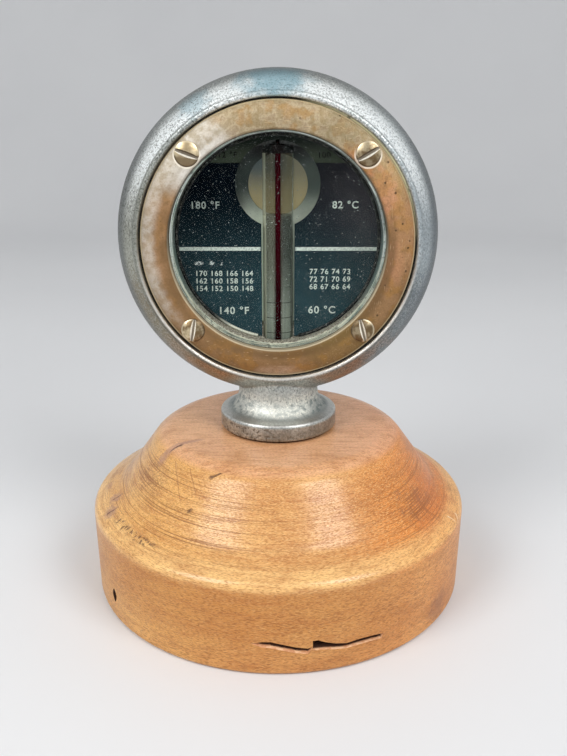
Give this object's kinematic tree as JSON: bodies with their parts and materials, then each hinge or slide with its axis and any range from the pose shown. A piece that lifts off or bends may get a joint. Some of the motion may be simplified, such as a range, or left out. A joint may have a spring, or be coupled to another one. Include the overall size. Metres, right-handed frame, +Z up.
{
  "type": "radiator cap thermometer",
  "caption": "Round plated thermometer for a car's radiator cap, with a brass bezel, slotted dial, glass tube and red spirit column, clamped on a turned wooden base.",
  "frame": {"origin": "on the table, under the middle of the wooden base", "axes": "+Z up along the glass tube, dial facing -Y, +X to the right of someone who reads the dial"},
  "size_m": [0.1044, 0.1044, 0.1373],
  "materials": {
    "beech": "turned and varnished",
    "nickel": "worn, pitted nickel plate",
    "brass": "tarnished",
    "clear_glass": "clear",
    "gasket": "aged cork and fibre",
    "dial": "matt black paint",
    "steel": "plain",
    "opal": "yellowed translucent",
    "spirit": "red liquid",
    "rubber": "aged",
    "leather": "dark"
  },
  "bodies": {
    "meter": {"wood_base": "beech", "meter_case": "nickel", "front_bezel": "brass", "rear_bezel": "brass", "front_bezel_screws": "brass", "rear_bezel_screws": "brass", "front_glass": "clear_glass", "rear_glass": "clear_glass", "front_gasket": "gasket", "rear_gasket": "gasket", "front_dial": "dial", "rear_dial": "dial", "front_dial_clip": "steel", "rear_dial_clip": "steel", "sight_window": "opal", "thermometer_tube": "clear_glass", "bulb_spirit": "spirit", "tip_cushion": "rubber", "tube_packing": "gasket", "stem": "brass", "bulb_guard": "brass", "foot_washer": "leather", "clamp_washer": "steel", "lock_washer": "steel", "clamp_nut": "steel"},
    "spirit": {"spirit_column": "spirit"}
  },
  "joints": [
    {"name": "spirit_rise", "type": "slide", "parent": "meter", "child": "spirit", "axis": [0, 0, 1], "range_m": [-0.045, 0.002]}
  ]
}
